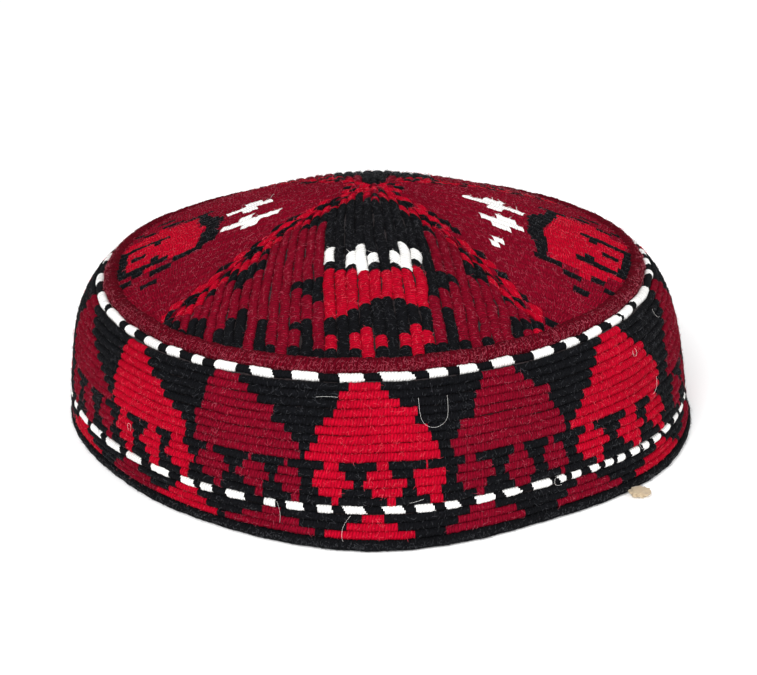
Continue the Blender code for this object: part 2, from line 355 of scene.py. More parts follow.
@dataclass
class CapShape:
    """The cap's surfaces: the side's outline, its worn plan and the crown over it.

    The values are those of the part's source. The plan's shares, the crown's rise and power and the heights
    of waist and rim are the rounded output of a least-squares fit to the photograph's outline.
    """

    hem_radius: float = 95.4 * MM
    waist_radius: float = 94.0 * MM
    rim_radius: float = 84.2 * MM
    waist_height: float = 11.0 * MM
    rim_height: float = 46.1 * MM
    crown_rise: float = 27.3 * MM
    crown_power: float = 1.53
    fan_power: float = 0.86
    rib_pitch: float = 3.45 * MM
    crown_edge: float = 77.2 * MM
    even_lean: float = 0.35
    shoulder_power: float = 5.0
    rim_slope: float = 0.014
    plan: tuple[Plan, ...] = (
        Plan(0, 1.006, 1.034, 1.048),
        Plan(30, 0.991, 0.989, 0.990),
        Plan(60, 0.985, 1.015, 1.013),
        Plan(90, 0.993, 1.009, 1.011),
        Plan(120, 0.996, 0.998, 1.008),
        Plan(150, 1.000, 0.998, 1.007),
        Plan(180, 1.004, 1.000, 1.008),
        Plan(210, 1.004, 1.001, 1.007),
        Plan(240, 1.011, 1.000, 1.000),
        Plan(270, 0.994, 0.993, 0.979),
        Plan(300, 0.994, 0.976, 0.944),
        Plan(330, 1.010, 0.996, 0.979),
    )
    dents: tuple[Dent, ...] = (
        Dent(252.0, 0.72, 16.0 * MM, 1.2 * MM),
        Dent(20.0, 0.30, 12.0 * MM, 0.6 * MM),
        Dent(140.0, 0.55, 20.0 * MM, 0.8 * MM),
    )

    def __post_init__(self) -> None:
        """Works out the outline's length and where the frame has put the cap's middle."""
        self.heights = np.linspace(0.0, self.rim_height, FLAT_PROFILE_STEPS + 1)
        self.radii = self.side_radius(self.heights)
        steps = np.hypot(np.diff(self.radii), np.diff(self.heights))
        self.lengths = np.concatenate([[0.0], np.cumsum(steps)])
        self.rim_length = float(self.lengths[-1])
        self.waist_length = float(np.interp(self.waist_height, self.heights, self.lengths))
        self.middle = np.zeros(3)
        round_the_hem = self.placed(
            np.full(FLAT_PROFILE_STEPS, self.hem_radius),
            np.zeros(FLAT_PROFILE_STEPS),
            np.linspace(0.0, 360.0, FLAT_PROFILE_STEPS, endpoint=False),
        )
        low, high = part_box("hem_binding")
        framed = np.array([(low[i] + high[i]) / 2 for i in range(2)] + [0.0])
        own = (round_the_hem.min(axis=0) + round_the_hem.max(axis=0)) / 2
        self.middle = framed - own * (1.0, 1.0, 0.0)

    def side_radius(self, height: np.ndarray) -> np.ndarray:
        """Mean outer radius of the side at a height."""
        under = self.hem_radius + (self.waist_radius - self.hem_radius) * height / self.waist_height
        t = np.clip((height - self.waist_height) / (self.rim_height - self.waist_height), 0.0, 2.0)
        lean = self.even_lean * t + (1.0 - self.even_lean) * t**self.shoulder_power
        over = self.waist_radius + (self.rim_radius - self.waist_radius) * lean
        return np.where(height < self.waist_height, under, over)

    def share_at(self, azimuth: np.ndarray, column: str) -> np.ndarray:
        """One of the plan's shares at any azimuth, on a smooth closed curve through the table's rows."""
        shares = np.array([getattr(row, column) for row in self.plan])
        place = np.mod(azimuth, 360.0) / (360.0 / len(shares))
        row = place.astype(int)
        t = place - row
        p = [shares[(row + k) % len(shares)] for k in (-1, 0, 1, 2)]
        bend = 2 * p[0] - 5 * p[1] + 4 * p[2] - p[3]
        twist = 3 * (p[1] - p[2]) + p[3] - p[0]
        return p[1] + 0.5 * t * (p[2] - p[0] + t * (bend + t * twist))

    def growth(self, azimuth: np.ndarray, height: np.ndarray) -> np.ndarray:
        """What the plan adds to the mean radius at a height. It doesn't change above the rim."""
        waist = self.waist_radius * (self.share_at(azimuth, "waist") - 1.0)
        hem = self.hem_radius * (self.share_at(azimuth, "hem") - 1.0)
        rim = self.rim_radius * (self.share_at(azimuth, "rim") - 1.0)
        low = hem + (waist - hem) * smooth_step(height / self.waist_height)
        share = (height - self.waist_height) / (self.rim_height - self.waist_height)
        return np.where(height < self.waist_height, low, waist + (rim - waist) * smooth_step(share))

    def placed(self, radius: np.ndarray, height: np.ndarray, azimuth: np.ndarray) -> np.ndarray:
        """Points of the cap at mean radii, heights and azimuths.

        Args:
            radius: mean radii.
            height: heights over the floor.
            azimuth: azimuths in degrees.

        Returns:
            An array of points, with one more axis than the arguments.
        """
        angle = np.radians(azimuth)
        grown = radius + self.growth(azimuth, height)
        x = grown * np.sin(angle)
        share = (height - self.waist_height) / (self.rim_height - self.waist_height)
        lift = self.rim_slope * x * smooth_step(share)
        return np.stack([x, -grown * np.cos(angle), height + lift], axis=-1) + self.middle

    def on_side(self, length: np.ndarray, depth: np.ndarray, azimuth: np.ndarray) -> np.ndarray:
        """Points of the side this far along its outline and this deep under it."""
        k = np.clip(np.searchsorted(self.lengths, length, side="right") - 1, 0, FLAT_PROFILE_STEPS - 1)
        step = self.lengths[k + 1] - self.lengths[k]
        along_r = (self.radii[k + 1] - self.radii[k]) / step
        along_h = (self.heights[k + 1] - self.heights[k]) / step
        past = length - self.lengths[k]
        radius = self.radii[k] + along_r * past - along_h * depth
        height = self.heights[k] + along_h * past + along_r * depth
        return self.placed(radius, height, azimuth)

    def crown_height(self, radius: np.ndarray, azimuth: np.ndarray) -> np.ndarray:
        """Height of the crown's outer surface, dents included."""
        height = self.rim_height + self.crown_rise * (1.0 - (radius / self.rim_radius) ** self.crown_power)
        for dent in self.dents:
            turn = np.radians(azimuth - dent.azimuth)
            far = dent.radius_share * self.rim_radius
            away2 = radius**2 + far**2 - 2.0 * radius * far * np.cos(turn)
            height = height - dent.depth * np.exp(-away2 / dent.reach**2)
        return height

    def on_crown(self, panel: Panel, line: np.ndarray, radius: np.ndarray, depth: np.ndarray) -> np.ndarray:
        """Points of the crown on a panel's rib lines.

        Args:
            panel: the panel.
            line: rib lines, whole numbers being the ribs' crests.
            radius: mean radii.
            depth: depths under the crown's surface.

        Returns:
            The points.
        """
        near = np.maximum(radius, 0.05 * MM)
        arc = near**self.fan_power * self.crown_edge ** (1.0 - self.fan_power)
        azimuth = panel.middle + np.degrees(line * self.rib_pitch / arc)
        growth = self.growth(azimuth, np.full_like(radius, self.rim_height))
        grown = radius + growth * (radius / self.crown_edge) ** 2
        angle = np.radians(azimuth)
        x = grown * np.sin(angle)
        height = self.crown_height(radius, azimuth) - depth + self.rim_slope * x
        return np.stack([x, -grown * np.cos(angle), height], axis=-1) + self.middle

    def rib_start(self, panel: Panel, line: np.ndarray) -> np.ndarray:
        """The radii at which rib lines leave their mitre."""
        span = np.where(line > 0, panel.end - panel.middle, panel.middle - panel.start)
        reach = np.abs(line) * self.rib_pitch / np.radians(span)
        return (reach / self.crown_edge ** (1.0 - self.fan_power)) ** (1.0 / self.fan_power)


def smooth_step(share: np.ndarray) -> np.ndarray:
    """Eases shares from 0 to 1, level at both ends."""
    share = np.clip(share, 0.0, 1.0)
    return share * share * (3.0 - 2.0 * share)


def wander(rng: np.random.Generator, places: np.ndarray, waves: tuple[int, ...], height: float) -> np.ndarray:
    """A smooth random line that closes on itself.

    Args:
        rng: the random numbers.
        places: where it is wanted, as shares of the whole way round.
        waves: how many waves each of its parts has in the whole way round.
        height: its usual height.

    Returns:
        Its heights at the places.
    """
    line = np.zeros_like(places)
    for count in waves:
        line += rng.normal() * np.sin(math.tau * (count * places + rng.random()))
    return line * height / math.sqrt(len(waves))


@dataclass
class CordMesh:
    """Cords in one mesh, with each face's thread and a UV map in millimetres along and round the cord."""

    name: str
    points: list[np.ndarray] = field(default_factory=list)
    faces: list[np.ndarray] = field(default_factory=list)
    threads: list[np.ndarray] = field(default_factory=list)
    maps: list[np.ndarray] = field(default_factory=list)
    count: int = 0

    def add(self, rings: np.ndarray, thread: np.ndarray, girth_mm: float, closed: bool) -> None:
        """Adds one cord.

        Args:
            rings: its points, as rings by sides by three.
            thread: the thread of each stretch between two rings, as numbers of the Thread enum.
            girth_mm: how far it is round.
            closed: whether its last ring joins its first.
        """
        total, sides, _ = rings.shape
        spans = total if closed else total - 1
        i = np.arange(spans)[:, None]
        j = np.arange(sides)[None, :]
        ahead, beside = (i + 1) % total, (j + 1) % sides
        here, next_ring = i * sides, ahead * sides
        quads = np.stack([here + j, next_ring + j, next_ring + beside, here + beside], axis=-1)
        middle = rings.mean(axis=1)
        steps = np.linalg.norm(np.roll(middle, -1, axis=0) - middle, axis=1)[:spans] / MM
        start = np.concatenate([[0.0], np.cumsum(steps)])[:, None]
        low, high = start[:-1] + 0.0 * j, start[1:] + 0.0 * j
        near, far = girth_mm * j / sides + 0.0 * i, girth_mm * (j + 1) / sides + 0.0 * i
        corners = np.stack([low, near, high, near, high, far, low, far], axis=-1).reshape(-1, 4, 2)
        kinds = np.broadcast_to(thread.reshape(spans, -1), (spans, sides)).reshape(-1)
        self.faces.append(quads.reshape(-1, 4) + self.count)
        self.maps.append(corners)
        self.threads.append(kinds)
        self.points.append(rings.reshape(-1, 3))
        self.count += total * sides
        if not closed:
            self.cap(rings[0], int(kinds[0]), flip=True)
            self.cap(rings[-1], int(kinds[-1]), flip=False)

    def lumpy(self, rings: np.ndarray, rng: np.random.Generator, share: float) -> np.ndarray:
        """Moves each point a little to or from its ring's middle, as the turns of wool stand unevenly."""
        middle = rings.mean(axis=1, keepdims=True)
        bulge = rng.normal(0.0, share, rings.shape[:2])
        bulge = (bulge + 0.5 * np.roll(bulge, 1, axis=1) + 0.5 * np.roll(bulge, 1, axis=0)) / 1.22
        return middle + (rings - middle) * (1.0 + bulge[..., None])

    def cap(self, ring: np.ndarray, kind: int, flip: bool) -> None:
        """Closes a cord's end with a fan round a new middle point."""
        sides = len(ring)
        base = self.count
        self.points.append(np.vstack([ring, ring.mean(axis=0)[None, :]]))
        j = np.arange(sides)
        beside = (j + 1) % sides
        order = (j, beside) if flip else (beside, j)
        fan = np.stack([order[1] + base, order[0] + base, np.full(sides, sides) + base], axis=-1)
        self.faces.append(np.concatenate([fan, fan[:, 2:]], axis=1))
        self.maps.append(np.zeros((sides, 4, 2)))
        self.threads.append(np.full(sides, kind))
        self.count += sides + 1

    def build(self, finishes: list[bpy.types.Material]) -> bpy.types.Object:
        """Makes the mesh object.

        Args:
            finishes: the materials, in the order of the thread numbers.

        Returns:
            The object, shaded smooth, with its doubled points merged and its faces pointing out.
        """
        points = np.concatenate(self.points)
        quads = np.concatenate(self.faces)
        corners = np.concatenate(self.maps)
        kinds = np.concatenate(self.threads)
        three = quads[:, 2] == quads[:, 3]
        sizes = np.where(three, 3, 4)
        keep = np.ones(quads.shape, bool)
        keep[three, 3] = False
        mesh = bpy.data.meshes.new(self.name)
        mesh.vertices.add(len(points))
        mesh.vertices.foreach_set("co", points.astype(np.float32).ravel())
        mesh.loops.add(int(sizes.sum()))
        mesh.loops.foreach_set("vertex_index", quads[keep].astype(np.int32))
        mesh.polygons.add(len(quads))
        mesh.polygons.foreach_set("loop_start", np.concatenate([[0], np.cumsum(sizes)[:-1]]).astype(np.int32))
        mesh.polygons.foreach_set("material_index", kinds.astype(np.int32))
        layer = mesh.uv_layers.new(name="cord")
        mesh.update(calc_edges=True)
        layer.uv.foreach_set("vector", corners[keep].astype(np.float32).ravel())
        for finish in finishes:
            mesh.materials.append(finish)
        mesh.validate()
        obj = bpy.data.objects.new(self.name, mesh)
        bpy.context.scene.collection.objects.link(obj)
        select_only(obj)
        bpy.ops.object.mode_set(mode="EDIT")
        bpy.ops.mesh.select_all(action="SELECT")
        bpy.ops.mesh.remove_doubles(threshold=1e-6)
        bpy.ops.mesh.normals_make_consistent(inside=False)
        bpy.ops.object.mode_set(mode="OBJECT")
        bpy.ops.object.shade_smooth()
        return obj


def select_only(obj: bpy.types.Object) -> None:
    """Deselects everything and makes one object the active one."""
    bpy.ops.object.select_all(action="DESELECT")
    obj.select_set(True)
    bpy.context.view_layer.objects.active = obj


@dataclass(frozen=True)
class Motif:
    """A stepped motif of the band: its thread, its top's and its foot's azimuth, and its foot's width."""

    thread: Thread
    top: float
    foot: float
    width: float


@dataclass(frozen=True)
class Stretch:
    """A coloured stretch of one cord of a motif: its middle and its length, as shares of the motif's foot."""

    middle: float
    length: float


@dataclass
class SideBand:
    """The upright side: rows of wrapped cord, with a row of stepped motifs over a row of lozenges.

    The front's motifs and lozenges were measured as pixel columns in the photograph, and scratch scripts
    turned them into azimuths. Those of the back are guessed.
    """

    shape: CapShape
    rows_above: int = 14
    rows_below: int = 3
    checked_radius: float = 1.35 * MM
    gap: float = 0.3 * MM
    foot: float = 3.2 * MM
    step: float = 0.45 * MM
    sides: int = 8
    thickness: float = 1.15 * MM
    motifs: tuple[Motif, ...] = (
        Motif(Thread.MAROON, -78.0, -69.0, 24.2),
        Motif(Thread.BRIGHT_RED, -51.8, -45.2, 21.1),
        Motif(Thread.MAROON, -27.2, -22.8, 20.4),
        Motif(Thread.BRIGHT_RED, -1.2, -0.2, 22.4),
        Motif(Thread.MAROON, 24.6, 24.0, 22.6),
        Motif(Thread.BRIGHT_RED, 53.4, 49.5, 25.8),
        Motif(Thread.MAROON, 82.0, 78.3, 23.0),
        Motif(Thread.BRIGHT_RED, 103.4, 103.0, 23.5),
        Motif(Thread.MAROON, 128.8, 128.5, 23.5),
        Motif(Thread.BRIGHT_RED, 154.2, 154.0, 23.5),
        Motif(Thread.MAROON, 179.6, 180.0, 23.5),
        Motif(Thread.BRIGHT_RED, 205.0, 206.5, 23.5),
        Motif(Thread.MAROON, 230.4, 233.5, 23.5),
        Motif(Thread.BRIGHT_RED, 255.5, 262.0, 23.5),
    )
    chart: tuple[tuple[Stretch, ...], ...] = (
        (Stretch(-0.03, 0.27),),
        (Stretch(-0.04, 0.40),),
        (Stretch(-0.01, 0.48),),
        (Stretch(0.01, 0.66),),
        (Stretch(0.01, 0.71),),
        (Stretch(-0.01, 0.84),),
        (Stretch(0.02, 0.90),),
        (Stretch(0.01, 0.97),),
        (Stretch(0.00, 1.00),),
        (Stretch(-0.33, 0.09), Stretch(0.055, 0.09), Stretch(0.375, 0.06)),
        (Stretch(-0.32, 0.23), Stretch(0.055, 0.19), Stretch(0.39, 0.20)),
        (Stretch(-0.305, 0.305), Stretch(0.065, 0.295), Stretch(0.40, 0.28)),
        (Stretch(-0.32, 0.20), Stretch(0.08, 0.21), Stretch(0.41, 0.17)),
        (Stretch(-0.27, 0.055), Stretch(0.10, 0.095), Stretch(0.455, 0.065)),
    )
    lozenges: tuple[Motif, ...] = (
        Motif(Thread.BRIGHT_RED, -71.4, -71.4, 17.7),
        Motif(Thread.MAROON, -49.6, -49.6, 16.5),
        Motif(Thread.BRIGHT_RED, -35.1, -35.1, 14.5),
        Motif(Thread.MAROON, -18.0, -18.0, 16.2),
        Motif(Thread.BRIGHT_RED, -1.0, -1.0, 15.2),
        Motif(Thread.MAROON, 18.6, 18.6, 15.9),
        Motif(Thread.MAROON, 40.3, 40.3, 15.7),
        Motif(Thread.BRIGHT_RED, 60.4, 60.4, 16.4),
    )
    back_lozenges: int = 11
    back_lozenge_start: float = 78.2
    back_lozenge_pitch: float = 19.2
    lozenge_chart: tuple[tuple[Stretch, ...], ...] = (
        (Stretch(0.0, 0.27),),
        (Stretch(0.0, 0.66),),
        (Stretch(0.0, 1.00),),
    )
    edge_wander: float = 0.42

    def row_pitch(self) -> float:
        """How far apart the upper rows are."""
        room = self.shape.rim_length - self.checked_radius - self.gap - self.shape.waist_length
        return room / (self.rows_above + 0.5)

    def low_pitch(self) -> float:
        """How far apart the rows under the lower checked cord are."""
        return (self.shape.waist_length - self.row_pitch() / 2 - self.foot) / self.rows_below

    def threads_of(
        self,
        azimuth: np.ndarray,
        level: float,
        stretches: tuple[Stretch, ...],
        motifs: tuple[Motif, ...],
        rng: np.random.Generator,
    ) -> np.ndarray:
        """The thread of each step of one cord.

        Args:
            azimuth: the steps' azimuths.
            level: how far down the motif the cord is, from 0 at its top to 1 at its foot.
            stretches: the chart's stretches on this cord.
            motifs: the motifs round the cap.
            rng: the random numbers of the embroiderer's hand.

        Returns:
            Numbers of the Thread enum.
        """
        found = np.full(len(azimuth), Thread.BLACK.value)
        for motif in motifs:
            centre = motif.top + (motif.foot - motif.top) * level
            away = np.mod(azimuth - centre + 180.0, 360.0) - 180.0
            for stretch in stretches:
                low = (stretch.middle - stretch.length / 2) * motif.width + rng.normal() * self.edge_wander
                high = (stretch.middle + stretch.length / 2) * motif.width + rng.normal() * self.edge_wander
                found[(away > low) & (away < high)] = motif.thread.value
        return found

    def cord(self, mesh: CordMesh, length: float, pitch: float, drift: np.ndarray, azimuth: np.ndarray,
             thread: np.ndarray, rng: np.random.Generator) -> None:
        """Lays one wrapped cord round the side.

        Args:
            mesh: what it is added to.
            length: how far up the outline its middle is.
            pitch: the width it fills.
            drift: how far it strays up or down at each azimuth.
            azimuth: the azimuths of its rings.
            thread: the thread of each ring.
            rng: the random numbers.
        """
        rings = len(azimuth)
        places = np.arange(rings) / rings
        turn = math.tau * (np.arange(self.sides) + 0.5) / self.sides
        full = 1.0 + wander(rng, places, (23, 37, 61, 89), 0.035) + rng.normal(0.0, 0.022, rings)
        half = pitch * 0.53 * full[:, None]
        deep = self.thickness * full[:, None]
        along = length + drift[:, None] + half * np.cos(turn)[None, :]
        depth = self.thickness - deep * np.sin(turn)[None, :] - 0.05 * MM
        rings_at = self.shape.on_side(along, depth, azimuth[:, None] + 0.0 * along)
        mesh.add(mesh.lumpy(rings_at[:, ::-1], rng, 0.060), thread, girth_mm=6.0, closed=True)

    def build(self, finishes: list[bpy.types.Material]) -> list[bpy.types.Object]:
        """Makes the band's cords.

        Args:
            finishes: the thread materials.

        Returns:
            The upper rows in two pieces and the lower rows.
        """
        rng = np.random.default_rng(11)
        rings = int(math.tau * self.shape.waist_radius / self.step)
        azimuth = np.linspace(0.0, 360.0, rings, endpoint=False)
        places = azimuth / 360.0
        pitch = self.row_pitch()
        made = []
        stray = wander(rng, places, (5, 9, 14, 22), 0.16 * MM)
        for name, rows in (("band_rows_upper", range(0, 7)), ("band_rows_middle", range(7, self.rows_above))):
            mesh = CordMesh(name)
            for row in rows:
                length = self.shape.waist_length + (self.rows_above - row) * pitch
                stray = 0.75 * stray + wander(rng, places, (7, 13, 19, 31), 0.12 * MM)
                level = row / 8.0 if row < 8 else 1.0
                thread = self.threads_of(azimuth, level, self.chart[row], self.motifs, rng)
                self.cord(mesh, length, pitch, stray, azimuth, thread, rng)
            made.append(mesh.build(finishes))
        mesh = CordMesh("band_rows_lower")
        low = self.low_pitch()
        lozenges = self.lozenges + self.lozenges_behind()
        for row in range(self.rows_below):
            length = self.foot + (self.rows_below - row - 0.5) * low
            stray = wander(rng, places, (7, 13, 19, 31), 0.10 * MM)
            thread = self.threads_of(azimuth, row / 2.0, self.lozenge_chart[row], lozenges, rng)
            self.cord(mesh, length, low, stray, azimuth, thread, rng)
        made.append(mesh.build(finishes))
        return made

    def lozenges_behind(self) -> tuple[Motif, ...]:
        """The lower row's lozenges round the back of the cap."""
        kinds = (Thread.MAROON, Thread.BRIGHT_RED)
        found = []
        for k in range(self.back_lozenges):
            centre = self.back_lozenge_start + k * self.back_lozenge_pitch
            found.append(Motif(kinds[k % 2], centre, centre, 15.5))
        return tuple(found)


@dataclass(frozen=True)
class Dash:
    """A white dash of a checked cord, from one azimuth to another."""

    start: float
    end: float


def dashes(*edges: tuple[float, float]) -> tuple[Dash, ...]:
    """Dashes from pairs of azimuths."""
    return tuple(Dash(start, end) for start, end in edges)


# The front's dashes, as azimuths that a scratch script worked out from pixel columns in the photograph
LOWER_DASHES = dashes(
    (-78.2, -75.9), (-73.2, -68.3), (-66.2, -61.5), (-58.9, -53.9), (-51.3, -46.8),
    (-43.8, -39.3), (-36.3, -33.3), (-31.8, -29.4), (-26.4, -22.9), (-19.0, -17.0),
    (-15.1, -12.1), (-9.7, -7.2), (-5.3, -1.9), (1.1, 4.5), (6.5, 9.5),
    (11.5, 14.0), (17.0, 20.5), (22.5, 25.6), (28.1, 32.1), (33.6, 35.1),
    (36.6, 38.6), (40.7, 42.7), (44.2, 46.2), (47.3, 49.3), (50.9, 53.4),
    (54.5, 56.5), (58.1, 60.7), (62.2, 65.3), (67.7, 70.6), (71.9, 75.3),
)
UPPER_DASHES = dashes(
    (-90.4, -86.0), (-79.2, -71.8), (-69.3, -61.8), (-58.8, -55.2), (-51.1, -46.5),
    (-44.0, -40.5), (-36.9, -34.5), (-31.5, -27.0), (-24.1, -19.6), (-15.7, -10.7),
    (-6.8, -2.3), (0.8, 6.8), (9.8, 13.4), (15.9, 19.5), (22.6, 27.2),
    (31.9, 36.6), (39.7, 43.4), (46.0, 50.8), (54.0, 58.3), (59.4, 64.3),
    (66.6, 76.3), (83.8, 86.4),
)


@dataclass
class CheckedCord:
    """A cord wrapped in black with white dashes that stand a little proud."""

    name: str
    shape: CapShape
    length: float
    radius: float
    charted: tuple[Dash, ...]
    dash_degrees: float
    gap_degrees: float
    seed: int
    step: float = 0.42 * MM
    sides: int = 10
    black_share: float = 0.86

    def all_dashes(self, rng: np.random.Generator) -> tuple[Dash, ...]:
        """The charted dashes of the front, and even ones with a hand's wander round the back."""
        found = list(self.charted)
        end = self.charted[0].start + 360.0 - self.gap_degrees
        place = self.charted[-1].end + self.gap_degrees
        while place + self.dash_degrees < end:
            dash = self.dash_degrees * (1.0 + rng.normal() * 0.15)
            found.append(Dash(place, min(place + dash, end)))
            place += dash + self.gap_degrees * (1.0 + rng.normal() * 0.15)
        return tuple(found)

    def build(self, finishes: list[bpy.types.Material]) -> bpy.types.Object:
        """Makes the cord.

        Args:
            finishes: the thread materials.

        Returns:
            The cord's object.
        """
        rng = np.random.default_rng(self.seed)
        rings = int(math.tau * self.shape.waist_radius / self.step)
        azimuth = np.linspace(0.0, 360.0, rings, endpoint=False)
        places = azimuth / 360.0
        turn = math.tau * (np.arange(self.sides) + 0.5) / self.sides
        white = np.zeros((rings, self.sides), bool)
        swell = np.full(rings, self.black_share)
        for dash in self.all_dashes(rng):
            slant = rng.normal(0.25, 0.2)
            edges = azimuth[:, None] + slant * np.cos(turn)[None, :]
            middle, half = (dash.start + dash.end) / 2, (dash.end - dash.start) / 2
            white |= np.abs(np.mod(edges - middle + 180.0, 360.0) - 180.0) < half
            inside = half - np.abs(np.mod(azimuth - middle + 180.0, 360.0) - 180.0)
            rise = (1.0 - self.black_share) * smooth_step(inside / 0.5 + 0.3)
            swell = np.maximum(swell, self.black_share + rise)
        thread = np.where(white, Thread.WHITE.value, Thread.BLACK.value)
        full = swell * (1.0 + wander(rng, places, (31, 57, 83), 0.03) + rng.normal(0.0, 0.02, rings))
        stray = wander(rng, places, (9, 16, 27, 44), 0.16 * MM)
        along = self.length + stray[:, None] + self.radius * 1.08 * full[:, None] * np.cos(turn)[None, :]
        depth = self.radius - self.radius * full[:, None] * np.sin(turn)[None, :]
        mesh = CordMesh(self.name)
        points = self.shape.on_side(along, depth, azimuth[:, None] + 0.0 * along)
        mesh.add(mesh.lumpy(points[:, ::-1], rng, 0.030), thread[:, ::-1], girth_mm=8.0, closed=True)
        return mesh.build(finishes)


@dataclass
class RolledRing:
    """A thick wool roll round the cap, lumpy and fuzzy: the crown's piping."""

    name: str
    shape: CapShape
    length: float
    depth: float
    half_width: float
    half_depth: float
    seed: int
    step: float = 0.5 * MM
    sides: int = 14

    def build(self, finish: bpy.types.Material) -> bpy.types.Object:
        """Makes the roll.

        Args:
            finish: its material.

        Returns:
            The roll's object.
        """
        rng = np.random.default_rng(self.seed)
        rings = int(math.tau * self.shape.rim_radius / self.step)
        azimuth = np.linspace(0.0, 360.0, rings, endpoint=False)
        places = azimuth / 360.0
        turn = math.tau * (np.arange(self.sides) + 0.5) / self.sides
        full = 1.0 + wander(rng, places, (11, 24, 43, 71, 120), 0.03) + rng.normal(0.0, 0.012, rings)
        stray = wander(rng, places, (6, 13, 21), 0.15 * MM)
        along = self.length + stray[:, None] + self.half_width * full[:, None] * np.cos(turn)[None, :]
        depth = self.depth - self.half_depth * full[:, None] * np.sin(turn)[None, :]
        mesh = CordMesh(self.name)
        points = self.shape.on_side(along, depth, azimuth[:, None] + 0.0 * along)
        mesh.add(mesh.lumpy(points[:, ::-1], rng, 0.030), np.zeros(rings, int), girth_mm=14.0, closed=True)
        return mesh.build([finish])


@dataclass(frozen=True)
class Bar:
    """A coloured block of the crown's chart: its first and last rib, its radii in millimetres, its thread."""

    first: int
    last: int
    start: float
    end: float
    thread: Thread


def both(first: int, last: int, start: float, end: float, thread: Thread) -> tuple[Bar, Bar]:
    """The same block on both sides of a panel's middle line."""
    return Bar(first, last, start, end, thread), Bar(-last, -first, start, end, thread)


@dataclass(frozen=True)
class MitreLink:
    """One link of a mitre's checked chain: the radii it spans, and its blocks along each rib."""

    start: float
    end: float
    blocks: tuple[tuple[float, float, Thread], ...]


